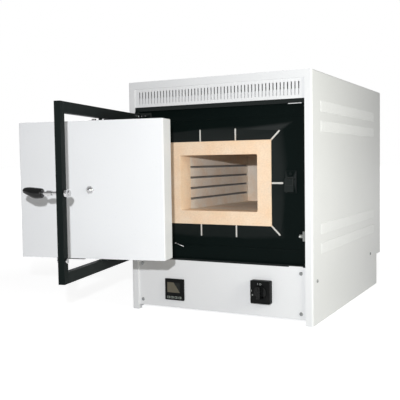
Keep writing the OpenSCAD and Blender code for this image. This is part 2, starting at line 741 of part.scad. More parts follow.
// Fixed bracket of the link
module link_bracket() color([0.2, 0.24, 0.24]) {
    top = link_z - fit;
    translate([link_from[0], link_from[1], top - 4.6]) linear_extrude(4.6) {
        circle(boss_r);
        translate([-boss_r, 0]) square([2 * boss_r, plate_y - link_from[1]]);
    }
    span([link_from[0] - boss_r, plate_y - 2, top - 18], [link_from[0] + 14, plate_y, top]);
    translate([link_from[0], link_from[1], top]) cylinder(h = link_t + 0.5, r = link_pin_r);
    rod_y([link_from[0] + 9, plate_y - 4, top - 9], 2.8, 2);
}

// Yoke: hinge bar, two arms and the outer bar
yoke_black = [0.07, 0.1, 0.1];
module tube_x(len, w, h, wall) difference() {
    span([0, -w / 2, 0], [len, w / 2, h]);
    span([-eps, -w / 2 + wall, wall], [len + eps, w / 2 - wall, h - wall]);
}
module yoke_hinge_bar() color(yoke_black) on_yoke() difference() {
    span([-hinge_bar_w / 2, -yoke_t / 2, yoke_low], [hinge_bar_w / 2, yoke_t / 2, yoke_top]);
    for (z = [yoke_low - eps, yoke_top - pin_len - 2]) translate([0, 0, z])
        cylinder(h = pin_len + 2 + eps, r = pin_r + turn_fit);
}
module yoke_arm(z) color(yoke_black) translate([hinge_bar_w / 2, 0, z])
    tube_x(yoke_len - bar_w - hinge_bar_w / 2, yoke_t, arm_h, tube_wall);
module pivot(low, high) translate([pivot_s, 0, low]) cylinder(h = high - low, r = pivot_r);
module yoke_top_arm() color(yoke_black) on_yoke() {
    yoke_arm(window_top);
    pivot(leaf_top - pivot_in, window_top + tube_wall);
}
module yoke_bottom_arm() color(yoke_black) on_yoke() {
    yoke_arm(yoke_low);
    pivot(window_low - tube_wall, leaf_low + pivot_in);
}
module yoke_outer_bar() color(yoke_black) on_yoke() difference() {
    span([yoke_len - bar_w, -yoke_t / 2, yoke_low], [yoke_len, yoke_t / 2, yoke_top]);
    for (z = [[yoke_low - eps, door_z - 14], [door_z + 14, yoke_top - 2]])
        span([yoke_len - bar_w + tube_wall, -yoke_t / 2 + tube_wall, z[0]],
            [yoke_len - tube_wall, yoke_t / 2 - tube_wall, z[1]]);
    rod_y([bar_mid, -yoke_t, door_z], shaft_d / 2 + turn_fit, 2 * yoke_t);
    rod_y([bar_mid, -yoke_t, bolt_z], bolt_r + slide_fit, 2 * yoke_t);
}

// Bright bolts on the yoke: the buffer bolt through the bar and two screws by the hinge
module yoke_bolts() color("gainsboro") on_yoke() {
    head = 3.4;
    rod_y([bar_mid, -yoke_t / 2 - head, bolt_z], bolt_r, yoke_t + 2 * head);
    for (y = [-yoke_t / 2 - head, yoke_t / 2]) rod_y([bar_mid, y, bolt_z], bolt_head_r, head);
    for (s = [12, 22]) rod_y([s, yoke_t / 2, yoke_top - 5], 2.6, 1.8);
}

// Door leaf: a folded box, its fibre pad, and the bolt through its middle
leaf_rim = 20;
washer_r = 12;
module leaf_box(w, h, t, r) intersection() {
    translate([0, 0, -h / 2]) linear_extrude(h) round_rect(w, t, r);
    translate([0, -t / 2, 0]) rotate([-90, 0, 0]) linear_extrude(t) round_rect(w, h, r);
}
module at_leaf() on_leaf() translate([-leaf_off, 0, leaf_z]) children();
module leaf_shell() color("white") at_leaf() difference() {
    leaf_box(leaf_w, leaf_h, leaf_t, leaf_r);
    span([-leaf_w / 2 + leaf_sheet, -leaf_t / 2 + leaf_sheet, -leaf_h / 2 + leaf_sheet],
        [leaf_w / 2 - leaf_sheet, leaf_t / 2 - leaf_sheet, leaf_h / 2 - leaf_sheet]);
    span([-leaf_w / 2 + leaf_rim, 0, -leaf_h / 2 + leaf_rim],
        [leaf_w / 2 - leaf_rim, leaf_t, leaf_h / 2 - leaf_rim]);
    for (z = [-leaf_h / 2 - 1, leaf_h / 2 - 2]) translate([leaf_off, 0, z])
        cylinder(h = 3, r = pivot_r + turn_fit);
    rod_y([0, -leaf_t / 2 - 1, 0], bolt_r + slide_fit, 3);
}
module leaf_pad() color(hot_fibre) at_leaf() difference() {
    inset = leaf_sheet + 0.2;
    union() {
        span([-leaf_w / 2 + inset, -leaf_t / 2 + inset, -leaf_h / 2 + inset],
            [leaf_w / 2 - inset, leaf_t / 2 - inset, leaf_h / 2 - inset]);
        span([-leaf_w / 2 + leaf_rim + 0.2, 0, -leaf_h / 2 + leaf_rim + 0.2],
            [leaf_w / 2 - leaf_rim - 0.2, leaf_t / 2 - 0.2, leaf_h / 2 - leaf_rim - 0.2]);
    }
    for (z = [-leaf_h / 2 - 1, leaf_h / 2 - 2 * pivot_in]) translate([leaf_off, 0, z])
        cylinder(h = 2 * pivot_in + 1, r = pivot_r + 2 * slide_fit);
    rod_y([0, -leaf_t, 0], bolt_r + slide_fit, 2 * leaf_t);
    rod_y([0, leaf_t / 2 - 3, 0], washer_r + 2 * slide_fit, 4);
}
module leaf_centre_bolt() color("gainsboro") at_leaf() {
    rod_y([0, -leaf_t / 2 - 1, 0], bolt_r, leaf_t - 1);
    rod_y([0, leaf_t / 2 - 2.8, 0], washer_r, 1.8);
    rod_y([0, -leaf_t / 2 - 1.6, 0], 7.6, 1.6);
    translate([0, -leaf_t / 2 - 1.6, 0]) rotate([90, 0, 0]) rotate_extrude()
        intersection() {
            translate([0, -1]) circle(5.6);
            square([6, 6]);
        }
}

// Plated plate on the leaf's top with the bush of the pivot and the link's pin
module leaf_pivot_plate() color("silver") on_leaf() difference() {
    union() {
        translate([0, 0, leaf_top]) linear_extrude(pivot_plate_t) {
            circle(8);
            translate([-21, -8]) square([31, 16]);
        }
        translate([link_pin[0], link_pin[1], leaf_top]) {
            cylinder(h = link_z - leaf_top - slide_fit, r = boss_r);
            cylinder(h = link_top - leaf_top + link_gap - 0.7, r = link_pin_r);
        }
        translate([-14, 0, leaf_top + pivot_plate_t])
            cylinder(h = window_top - leaf_top - pivot_plate_t - 0.8, r = 5, $fn = 6);
    }
    translate([0, 0, leaf_top - 1]) cylinder(h = 3, r = pivot_r + turn_fit);
}
// Black strip under the leaf
buffer_t = leaf_gap_low - 1;
buffer_w = 61;
module leaf_buffer() color("black") on_leaf()
    translate([-leaf_off - buffer_w - 17, -leaf_t / 2 + 2, leaf_low - buffer_t]) cube([buffer_w, 14, buffer_t]);

// Link under the upper arm, from the fixed bracket to the pin on the leaf
module door_link() color([0.15, 0.18, 0.18])
    translate([link_from[0], link_from[1], link_z]) rotate(link_angle) difference() {
        linear_extrude(link_t) {
            circle(4);
            translate([0, -link_w / 2]) square([link_len, link_w]);
            translate([link_len, 0]) circle(5);
        }
        translate([0, 0, -eps]) cylinder(h = link_t + 2 * eps, r = link_pin_r + turn_fit);
        translate([link_len, 0, -eps]) cylinder(h = link_t + 2 * eps, r = link_eye_r);
    }

// Handle: shaft through the bar, black grip and the latch cam behind the bar
module handle_shaft() color("gainsboro") on_handle() {
    translate([0, 0, -shaft_back]) cylinder(h = grip_front + grip_bore - 1.5 + shaft_back, r = shaft_d / 2);
    translate([0, 0, yoke_t / 2 + fit]) cylinder(h = 2, r = sleeve_r);
    translate([0, 0, sleeve_from]) cylinder(h = (grip_front - sleeve_from) / 2, r = sleeve_r);
}
module handle_grip() color("black") on_handle() difference() {
    hull() {
        for (g = grip_rings) translate([0, g[2], grip_front + g[0] - 2]) cylinder(h = 2, r = g[1], $fn = 32);
        translate([0, grip_lift, grip_end - grip_tip_d / 2]) sphere(r = grip_tip_d / 2, $fn = 32);
    }
    translate([0, 0, grip_front - 1]) cylinder(h = grip_bore, r = shaft_d / 2 + turn_fit);
}
module latch_cam() color("gainsboro") on_handle() difference() {
    union() {
        translate([0, 0, -yoke_t / 2 - 10.4]) cylinder(h = 10.1, r = 5.6, $fn = 6);
        translate([cam_off, 0, -yoke_t / 2 - 9.4]) cylinder(h = 4.2, r = cam_r);
    }
    translate([0, 0, -yoke_t / 2 - 9.6]) cylinder(h = 12, r = shaft_d / 2 + turn_fit);
}

// Screws of the control panel and of the cover's sides
module panel_screws() color("dimgray") {
    for (x = [-1, 1], z = screw_z) translate([x * screw_x, panel_inset, z])
        rotate([90, 0, 0]) pan_screw(screw_r);
    for (x = [-1, 1], z = screw_z) rod_y([x * screw_x, panel_inset, z], 2, 8);
    mirrored_x() for (y = side_screw_y) translate([half_w, y, side_screw_z]) rotate([0, 90, 0]) {
        pan_screw(0.9 * screw_r);
        translate([0, 0, -8]) cylinder(h = 8, r = 2);
    }
}

place() outer_cover();
place() base_tray();
place() control_panel();
place() front_grille();
place() upper_rear_panel();
place() lower_rear_panel();
place() front_plate();
place() chamber_shelf();
place() jacket_rails();
place() inner_jacket();
place() front_insulation();
place() top_insulation();
place() bottom_insulation();
place() left_insulation();
place() right_insulation();
place() rear_insulation();
place() chamber_collar();
place() chamber_left_wall();
place() chamber_right_wall();
place() chamber_roof();
place() chamber_hearth();
place() chamber_back_wall();
place() left_heating_coils();
place() right_heating_coils();
place() thermocouple();
place() thermocouple_head();
place() controller_body();
place() controller_bezel();
place() controller_window();
place() controller_key_1();
place() controller_key_2();
place() controller_key_3();
place() controller_key_4();
place() switch_body();
place() switch_cover();
place() switch_knob();
place() power_relay();
place() terminal_block();
place() cable_gland();
place() door_switch();
place() door_switch_plunger();
place() keeper();
place() hinge_bracket_top();
place() hinge_bracket_bottom();
place() link_bracket();
place() yoke_hinge_bar();
place() yoke_top_arm();
place() yoke_bottom_arm();
place() yoke_outer_bar();
place() yoke_bolts();
place() leaf_shell();
place() leaf_pad();
place() leaf_centre_bolt();
place() leaf_pivot_plate();
place() leaf_buffer();
place() door_link();
place() handle_shaft();
place() handle_grip();
place() latch_cam();
place() panel_screws();
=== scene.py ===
"""Finish of a bench jewellery kiln: paint, fibre, coils, controls, handle, and the stage it stands on."""

import json
import math

import bmesh
import bpy
from mathutils import Matrix, Vector


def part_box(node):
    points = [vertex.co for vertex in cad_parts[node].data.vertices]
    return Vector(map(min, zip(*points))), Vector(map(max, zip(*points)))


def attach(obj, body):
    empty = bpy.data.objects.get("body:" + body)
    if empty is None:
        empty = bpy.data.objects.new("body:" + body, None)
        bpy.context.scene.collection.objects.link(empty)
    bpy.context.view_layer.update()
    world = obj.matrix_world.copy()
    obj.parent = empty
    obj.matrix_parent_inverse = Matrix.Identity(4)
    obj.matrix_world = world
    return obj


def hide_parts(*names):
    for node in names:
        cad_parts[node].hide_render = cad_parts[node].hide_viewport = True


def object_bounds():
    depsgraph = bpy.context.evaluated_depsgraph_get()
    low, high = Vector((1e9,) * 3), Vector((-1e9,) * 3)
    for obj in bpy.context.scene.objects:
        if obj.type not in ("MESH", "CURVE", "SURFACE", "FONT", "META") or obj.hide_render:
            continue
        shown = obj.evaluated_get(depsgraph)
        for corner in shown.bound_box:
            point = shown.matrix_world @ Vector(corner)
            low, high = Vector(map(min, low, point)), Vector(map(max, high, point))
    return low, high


bl_info = {
    "name": "Jewellery Kiln Finish",
    "version": (1, 0, 0),
    "blender": (4, 5, 0),
    "location": "3D View > Sidebar > Kiln",
    "description": "Finishes the pieces of a bench jewellery kiln and sets its stage",
    "category": "Object",
}

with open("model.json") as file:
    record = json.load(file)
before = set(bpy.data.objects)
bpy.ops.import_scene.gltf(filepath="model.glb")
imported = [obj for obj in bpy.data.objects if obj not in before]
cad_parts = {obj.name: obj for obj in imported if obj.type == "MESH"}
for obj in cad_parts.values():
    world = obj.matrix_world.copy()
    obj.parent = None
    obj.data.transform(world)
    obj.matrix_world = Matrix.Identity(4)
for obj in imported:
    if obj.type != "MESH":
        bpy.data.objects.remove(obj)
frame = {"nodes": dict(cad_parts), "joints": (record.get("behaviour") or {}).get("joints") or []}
MM = 0.001
SEAM_GAP = 0.01 * MM
FLAT_ANGLE = math.radians(0.3)
CREASE_ANGLE = math.radians(35)
OUTWARD = Vector((0, -1, 0))
cad_low, cad_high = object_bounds()
cover_low, cover_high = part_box("outer_cover")
FRONT = Vector(((cover_low.x + cover_high.x) / 2, cover_low.y, cover_low.z))
JOINTS = {joint["name"]: joint for joint in frame["joints"]}


def at_front(x, y, z):
    """A point given in millimetres from the middle of the case's front edge."""
    return FRONT + Vector((x, y, z)) * MM


def middle(node):
    low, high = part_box(node)
    return (low + high) / 2


# Settings


def size(name, description, default):
    return bpy.props.FloatProperty(
        name=name, description=description, default=default, unit="LENGTH", precision=5, min=0.0
    )


def tint(name, description, default):
    return bpy.props.FloatVectorProperty(
        name=name, description=description, default=default, subtype="COLOR", size=3, min=0.0, max=1.0
    )


def amount(name, description, default, high=10.0):
    return bpy.props.FloatProperty(name=name, description=description, default=default, min=0.0, max=high)


class KilnFinish(bpy.types.PropertyGroup):
    """Colours of the kiln's materials"""

    white_paint: tint("White Paint", "Powder coat of the case and the leaf", (0.80, 0.805, 0.81))
    black_paint: tint("Black Paint", "Powder coat of the recess and the yoke", (0.0028, 0.0062, 0.0056))
    white_fibre: tint("White Fibre", "Insulation that has stayed cold", (0.80, 0.78, 0.72))
    fired_fibre: tint("Fired Fibre", "Chamber boards", (0.93, 0.85, 0.74))
    # The roof's dark brown is painted shade: it stands in for the shadow that the collar's top casts into the
    # chamber.
    roof_painted_shade: tint("Roof Painted Shade Fibre", "Chamber roof, darkened as painted shade for the shadow under the collar", (0.34, 0.20, 0.13))
    collar_fibre: tint("Collar Fibre", "Collar round the chamber mouth", (0.94, 0.76, 0.58))
    scorched_fibre: tint("Scorched Fibre", "Fibre tanned by heat", (0.90, 0.60, 0.36))
    wire: tint("Coil Wire", "Oxidised resistance wire", (0.36, 0.34, 0.32))
    zinc: tint("Zinc", "Plated sheet inside the case", (0.52, 0.54, 0.55))
    chrome: tint("Chrome", "Bright bolts and the handle's shaft", (0.56, 0.56, 0.565))
    black_plastic: tint("Black Plastic", "Bezel, switch and grip", (0.0035, 0.004, 0.004))
    key_grey: tint("Key Grey", "Rubber keys of the controller", (0.17, 0.19, 0.17))
    # The pale half of the display window is a painted reflection of the room; the dark half is the window's own
    # smoked tone.
    glass_painted_reflection: tint("Window Painted Reflection", "Half of the display window with a painted reflection", (0.115, 0.103, 0.074))
    glass_dark: tint("Window Depth", "Dark half of the display window", (0.005, 0.007, 0.006))
    switch_grey: tint("Door Switch Grey", "Moulded body of the door switch", (0.20, 0.21, 0.20))


class KilnShapes(bpy.types.PropertyGroup):
    """Sizes of the pieces that are shaped here"""

    panel_edge: size("Panel Edge", "Rounding of the painted sheet's edges", 0.0005)
    yoke_edge: size("Yoke Edge", "Rounding of the yoke's tube", 0.0012)
    board_edge: size("Board Edge", "Rounding of the fibre boards' edges", 0.0014)
    wire_radius: size("Wire Radius", "Radius of the resistance wire", 0.0007)
    coil_pitch: size("Coil Pitch", "Distance between two turns of a heating coil", 0.0042)
    grip_lift: size("Grip Lift", "How far the grip's tip stands above its shaft's axis", 0.0045)
    mark_height: size("Mark Height", "How far the moulded marks stand proud", 0.00025)


class KilnStage(bpy.types.PropertyGroup):
    """Camera and light"""

    eye: bpy.props.FloatVectorProperty(
        name="Eye", description="Camera's place, from the middle of the case's front edge",
        default=(0.6497, -1.2931, 0.3380), subtype="XYZ", unit="LENGTH", size=3,
    )
    azimuth: bpy.props.FloatProperty(
        name="Azimuth", description="How far right of the front the camera stands",
        default=math.radians(27.98), subtype="ANGLE",
    )
    elevation: bpy.props.FloatProperty(
        name="Elevation", description="How far the camera looks down",
        default=math.radians(3.25), subtype="ANGLE",
    )
    roll: bpy.props.FloatProperty(
        name="Roll", description="How far the camera is tilted", default=math.radians(-0.85), subtype="ANGLE"
    )
    lens: bpy.props.FloatProperty(name="Lens", description="Focal length", default=60.52, min=1.0)
    sky: amount("Sky", "Strength of the even light", 0.30)
    mirrored_sky: amount("Mirrored Sky", "Strength of the sky in reflections", 0.38)
    key: amount("Key", "Power of the lamp above the camera, in watts", 13.6, 500.0)
    key_width: size("Key Width", "Width of the lamp above the camera", 0.02)
    key_colour: tint("Key Colour", "Colour of the lamp above the camera", (0.96, 0.975, 1.0))
    side: amount("Side", "Power of the soft lamp on the right, in watts", 3.6, 500.0)
    side_width: size("Side Width", "Width of the soft lamp", 0.32)
    side_colour: tint("Side Colour", "Colour of the soft lamp", (1.0, 1.0, 0.88))
    floor_tone: amount("Floor Tone", "Grey of the floor", 0.62, 1.0)
    floor_near: amount("Floor Near", "White added to the floor in direct view by the kiln", 0.76, 1.0)


# Shader groups


def shader_group(name, inputs, outputs):
    """An empty node group with the given sockets: returns the tree, its input and its output node."""
    tree = bpy.data.node_groups.new(name, "ShaderNodeTree")
    kinds = {"color": "NodeSocketColor", "value": "NodeSocketFloat", "vector": "NodeSocketVector"}
    for label, kind, default in inputs:
        socket = tree.interface.new_socket(label, in_out="INPUT", socket_type=kinds[kind])
        socket.default_value = (*default, 1.0) if kind == "color" else default
    for label, kind in outputs:
        tree.interface.new_socket(label, in_out="OUTPUT", socket_type=kinds[kind])
    return tree, tree.nodes.new("NodeGroupInput"), tree.nodes.new("NodeGroupOutput")


def add_node(tree, kind, links=None, **values):
    """A node with its properties and inputs set; a value that is a socket is linked."""
    node = tree.nodes.new(kind)
    for key, value in values.items():
        setattr(node, key, value)
    for key, value in (links or {}).items():
        if isinstance(value, bpy.types.NodeSocket):
            tree.links.new(value, node.inputs[key])
        else:
            node.inputs[key].default_value = value
    return node


def texture_noise(tree, scale, detail=2.0, place=None, roughness=0.5):
    """Noise over the object's own coordinates, in a feature size given as a scale per metre."""
    if place is None:
        place = tree.nodes.new("ShaderNodeTexCoord").outputs["Object"]
    return add_node(
        tree, "ShaderNodeTexNoise",
        {"Vector": place, "Scale": scale, "Detail": detail, "Roughness": roughness},
    ).outputs["Fac"]


def maths(tree, operation, a, b=0.0, clamp=False):
    node = add_node(tree, "ShaderNodeMath", {0: a, 1: b}, operation=operation)
    node.use_clamp = clamp
    return node.outputs[0]


def blend_colour(tree, factor, a, b, mode="MIX"):
    node = tree.nodes.new("ShaderNodeMix")
    node.data_type = "RGBA"
    node.blend_type = mode
    for index, value in ((0, factor), (6, a), (7, b)):
        if isinstance(value, bpy.types.NodeSocket):
            tree.links.new(value, node.inputs[index])
        else:
            node.inputs[index].default_value = value
    return node.outputs[2]


def remap(tree, value, low, high, to_low=0.0, to_high=1.0):
    node = add_node(tree, "ShaderNodeMapRange", {0: value, 1: low, 2: high, 3: to_low, 4: to_high})
    node.clamp = True
    return node.outputs[0]


def make_powder_coat():
    """Baked paint: a faint orange peel, slow changes of tone and worn edges."""
    tree, given, result = shader_group(
        "Powder Coat",
        [("Color", "color", (0.8, 0.8, 0.8)), ("Gloss", "value", 0.35), ("Peel Scale", "value", 900.0),
         ("Peel Depth", "value", 0.12), ("Tone", "value", 0.04), ("Edge Wear", "value", 0.0)],
        [("Color", "color"), ("Roughness", "value"), ("Normal", "vector")],
    )
    peel = texture_noise(tree, given.outputs["Peel Scale"], 1.5)
    slow = texture_noise(tree, 5.0, 3.0)
    fine = texture_noise(tree, 260.0, 2.0)
    bump = add_node(
        tree, "ShaderNodeBump", {"Strength": given.outputs["Peel Depth"], "Distance": 0.0004, "Height": peel}
    )
    darker = maths(tree, "MULTIPLY", remap(tree, slow, 0.35, 0.7), given.outputs["Tone"])
    speck = maths(tree, "MULTIPLY", remap(tree, fine, 0.62, 0.75), given.outputs["Tone"])
    shade = maths(tree, "SUBTRACT", 1.0, maths(tree, "ADD", darker, speck))
    toned = blend_colour(tree, 1.0, given.outputs["Color"], shade, "MULTIPLY")
    edge = add_node(tree, "ShaderNodeNewGeometry").outputs["Pointiness"]
    worn = maths(tree, "MULTIPLY", remap(tree, edge, 0.52, 0.60), given.outputs["Edge Wear"])
    tree.links.new(blend_colour(tree, worn, toned, (0.42, 0.43, 0.43, 1.0)), result.inputs["Color"])
    rough = maths(tree, "ADD", given.outputs["Gloss"], maths(tree, "MULTIPLY", slow, 0.10))
    tree.links.new(rough, result.inputs["Roughness"])
    tree.links.new(bump.outputs["Normal"], result.inputs["Normal"])
    return tree


def make_fibre_board():
    """Pressed ceramic fibre: mottled tone, short fibres, pits, and tan where it has been hot."""
    tree, given, result = shader_group(
        "Fibre Board",
        [("Color", "color", (0.9, 0.88, 0.8)), ("Hot Color", "color", (0.8, 0.5, 0.3)), ("Heat", "value", 0.5),
         ("Grain Scale", "value", 420.0), ("Grain Depth", "value", 0.5)],
        [("Color", "color"), ("Roughness", "value"), ("Normal", "vector")],
    )
    place = tree.nodes.new("ShaderNodeTexCoord").outputs["Object"]
    mottled = texture_noise(tree, 22.0, 5.0, place, 0.62)
    grain = texture_noise(tree, given.outputs["Grain Scale"], 4.0, place, 0.7)
    stretched = add_node(tree, "ShaderNodeMapping", {"Vector": place, "Scale": (1.0, 1.0, 5.0)})
    strands = texture_noise(tree, 260.0, 3.0, stretched.outputs[0], 0.6)
    pits = add_node(tree, "ShaderNodeTexVoronoi", {"Vector": place, "Scale": 190.0}).outputs["Distance"]
    heat = maths(tree, "ADD", given.outputs["Heat"], remap(tree, mottled, 0.3, 0.7, -0.30, 0.30), clamp=True)
    toned = blend_colour(tree, heat, given.outputs["Color"], given.outputs["Hot Color"])
    shade = remap(tree, maths(tree, "ADD", grain, strands), 0.75, 1.25, 0.88, 1.04)
    dark_pit = remap(tree, pits, 0.05, 0.16, 0.80, 1.0)
    shaded = blend_colour(tree, 1.0, toned, maths(tree, "MULTIPLY", shade, dark_pit), "MULTIPLY")
    tree.links.new(shaded, result.inputs["Color"])
    tree.links.new(remap(tree, grain, 0.3, 0.7, 0.86, 0.98), result.inputs["Roughness"])
    height = maths(tree, "ADD", maths(tree, "MULTIPLY", grain, 0.6), maths(tree, "MULTIPLY", strands, 0.4))
    bump = add_node(
        tree, "ShaderNodeBump", {"Strength": given.outputs["Grain Depth"], "Distance": 0.0012, "Height": height}
    )
    tree.links.new(bump.outputs["Normal"], result.inputs["Normal"])
    return tree


def make_metal_grain():
    """Drawn or plated metal: fine lines along one axis, smudges and a few dull spots."""
    tree, given, result = shader_group(
        "Metal Grain",
        [("Color", "color", (0.6, 0.6, 0.6)), ("Gloss", "value", 0.3), ("Line Scale", "value", 900.0),
         ("Stretch", "vector", (1.0, 1.0, 0.02)), ("Depth", "value", 0.06)],
        [("Color", "color"), ("Roughness", "value"), ("Normal", "vector")],
    )
    place = tree.nodes.new("ShaderNodeTexCoord").outputs["Object"]
    stretched = add_node(tree, "ShaderNodeMapping", {"Vector": place, "Scale": given.outputs["Stretch"]})
    lines = texture_noise(tree, given.outputs["Line Scale"], 3.0, stretched.outputs[0])
    smudge = texture_noise(tree, 60.0, 4.0, place)
    shade = remap(tree, maths(tree, "ADD", lines, smudge), 0.7, 1.3, 0.86, 1.05)
    tree.links.new(blend_colour(tree, 1.0, given.outputs["Color"], shade, "MULTIPLY"), result.inputs["Color"])
    rough = maths(tree, "ADD", given.outputs["Gloss"], remap(tree, smudge, 0.3, 0.8, -0.04, 0.14), clamp=True)
    tree.links.new(rough, result.inputs["Roughness"])
    bump = add_node(
        tree, "ShaderNodeBump", {"Strength": given.outputs["Depth"], "Distance": 0.0003, "Height": lines}
    )
    tree.links.new(bump.outputs["Normal"], result.inputs["Normal"])
    return tree


def make_moulded_skin():
    """Moulded plastic or rubber: a fine stipple, dust in it and soft wear."""
    tree, given, result = shader_group(
        "Moulded Skin",
        [("Color", "color", (0.02, 0.02, 0.02)), ("Gloss", "value", 0.4), ("Stipple Scale", "value", 1800.0),
         ("Depth", "value", 0.15), ("Dust", "value", 0.05)],
        [("Color", "color"), ("Roughness", "value"), ("Normal", "vector")],
    )
    stipple = texture_noise(tree, given.outputs["Stipple Scale"], 1.0)
    cloud = texture_noise(tree, 90.0, 4.0)
    dusty = maths(tree, "MULTIPLY", remap(tree, cloud, 0.5, 0.8), given.outputs["Dust"])
    coloured = blend_colour(tree, dusty, given.outputs["Color"], (0.35, 0.34, 0.32, 1.0))
    tree.links.new(coloured, result.inputs["Color"])
    rough = maths(tree, "ADD", given.outputs["Gloss"], remap(tree, cloud, 0.3, 0.8, -0.03, 0.12), clamp=True)
    tree.links.new(rough, result.inputs["Roughness"])
    bump = add_node(
        tree, "ShaderNodeBump", {"Strength": given.outputs["Depth"], "Distance": 0.0002, "Height": stipple}
    )
    tree.links.new(bump.outputs["Normal"], result.inputs["Normal"])
    return tree


def make_display_glass():
    """A smoked window: a pale half, painted as a reflection, and a dark half, parted by a slant line."""
    tree, given, result = shader_group(
        "Display Glass",
        [("Color", "color", (0.14, 0.13, 0.09)), ("Deep Color", "color", (0.005, 0.007, 0.006)),
         ("Start", "vector", (0.0, 0.0, 0.0)), ("Slant", "vector", (0.7, 0.0, 0.7)), ("Gloss", "value", 0.12)],
        [("Color", "color"), ("Roughness", "value"), ("Normal", "vector")],
    )
    place = tree.nodes.new("ShaderNodeTexCoord").outputs["Object"]
    from_start = add_node(
        tree, "ShaderNodeVectorMath", {0: place, 1: given.outputs["Start"]}, operation="SUBTRACT"
    ).outputs["Vector"]
    across = add_node(
        tree, "ShaderNodeVectorMath", {0: from_start, 1: given.outputs["Slant"]}, operation="DOT_PRODUCT"
    ).outputs["Value"]
    deep = remap(tree, across, -0.0006, 0.0006)
    # The pale half is a painted reflection; the dark half is the smoked glass's own colour.
    painted_reflection_halves = blend_colour(tree, deep, given.outputs["Color"], given.outputs["Deep Color"])
    tree.links.new(painted_reflection_halves, result.inputs["Color"])
    smear = texture_noise(tree, 120.0, 3.0, place)
    rough = maths(tree, "ADD", given.outputs["Gloss"], maths(tree, "MULTIPLY", smear, 0.08))
    tree.links.new(rough, result.inputs["Roughness"])
    ripple = add_node(tree, "ShaderNodeBump", {"Strength": 0.03, "Distance": 0.0002, "Height": smear})
    tree.links.new(ripple.outputs["Normal"], result.inputs["Normal"])
    return tree


GROUP_MAKERS = {
    "Display Glass": make_display_glass,
    "Powder Coat": make_powder_coat,
    "Fibre Board": make_fibre_board,
    "Metal Grain": make_metal_grain,
    "Moulded Skin": make_moulded_skin,
}


# Materials


def finish_material(name, group, values, **surface):
    """A material whose colour, roughness and normal come from one shader group."""
    found = bpy.data.materials.get(name)
    if found:
        return found
    material = bpy.data.materials.new(name)
    material.use_nodes = True
    tree = material.node_tree
    shader = tree.nodes["Principled BSDF"]
    tree_of_group = bpy.data.node_groups.get(group) or GROUP_MAKERS[group]()
    placed = tree.nodes.new("ShaderNodeGroup")
    placed.node_tree = tree_of_group
    for key, value in values.items():
        placed.inputs[key].default_value = (*value, 1.0) if "Color" in key else value
    tree.links.new(placed.outputs["Color"], shader.inputs["Base Color"])
    tree.links.new(placed.outputs["Roughness"], shader.inputs["Roughness"])
    tree.links.new(placed.outputs["Normal"], shader.inputs["Normal"])
    for key, value in surface.items():
        shader.inputs[key.replace("_", " ").title().replace("Ior", "IOR")].default_value = value
    return material


def white_paint():
    tones = bpy.context.scene.kiln_finish
    return finish_material(
        "White Powder Coat", "Powder Coat",
        {"Color": tones.white_paint, "Gloss": 0.34, "Peel Scale": 700.0, "Peel Depth": 0.10, "Tone": 0.03},
        ior=1.45, specular_ior_level=0.3,
    )


def black_paint():
    tones = bpy.context.scene.kiln_finish
    return finish_material(
        "Black Powder Coat", "Powder Coat",
        {"Color": tones.black_paint, "Gloss": 0.36, "Peel Scale": 800.0, "Peel Depth": 0.22, "Tone": 0.25,
         "Edge Wear": 0.05},
        ior=1.45, specular_ior_level=0.05,
    )


def zinc_sheet():
    tones = bpy.context.scene.kiln_finish
    return finish_material(
        "Zinc Sheet", "Metal Grain",
        {"Color": tones.zinc, "Gloss": 0.38, "Line Scale": 300.0, "Stretch": (1.0, 0.1, 1.0), "Depth": 0.10},
        metallic=1.0,
    )


def bright_metal():
    tones = bpy.context.scene.kiln_finish
    return finish_material(
        "Chromed Steel", "Metal Grain",
        {"Color": tones.chrome, "Gloss": 0.10, "Line Scale": 1500.0, "Stretch": (1.0, 1.0, 0.2), "Depth": 0.03},
        metallic=1.0,
    )


def dark_metal():
    return finish_material(
        "Blackened Screw Steel", "Metal Grain",
        {"Color": (0.30, 0.31, 0.31), "Gloss": 0.34, "Line Scale": 1200.0, "Stretch": (1.0, 1.0, 1.0),
         "Depth": 0.08},
        metallic=1.0,
    )


def wire_metal():
    tones = bpy.context.scene.kiln_finish
    return finish_material(
        "Oxidised Coil Wire", "Metal Grain",
        {"Color": tones.wire, "Gloss": 0.55, "Line Scale": 900.0, "Stretch": (1.0, 0.3, 1.0), "Depth": 0.2},
        metallic=0.6,
    )


def fibre(name, colour, heat, grain=420.0, depth=0.5):
    tones = bpy.context.scene.kiln_finish
    return finish_material(
        name, "Fibre Board",
        {"Color": colour, "Hot Color": tones.scorched_fibre, "Heat": heat, "Grain Scale": grain,
         "Grain Depth": depth},
        ior=1.35,
    )


def moulded(name, colour, gloss, depth=0.15, dust=0.04, **surface):
    return finish_material(
        name, "Moulded Skin", {"Color": colour, "Gloss": gloss, "Depth": depth, "Dust": dust}, **surface
    )


# Mesh tools


def dress(node, material, edge=0.0, segments=2):
    """Gives a carried-over node its material and, where an edge is given, soft edges."""
    thing = frame["nodes"][node]
    thing.data.materials.clear()
    thing.data.materials.append(material)
    if edge > 0.0:
        soften(thing, edge, segments)
    return thing


def soften(thing, edge, segments=2):
    weld = thing.modifiers.new("Close Seams", "WELD")
    weld.merge_threshold = SEAM_GAP
    flat = thing.modifiers.new("Join Flat Faces", "DECIMATE")
    flat.decimate_type = "DISSOLVE"
    flat.angle_limit = FLAT_ANGLE
    bevel = thing.modifiers.new("Soft Edges", "BEVEL")
    bevel.width = edge
    bevel.segments = segments
    bevel.limit_method = "ANGLE"
    bevel.angle_limit = CREASE_ANGLE
    bevel.use_clamp_overlap = True
    bevel.harden_normals = True


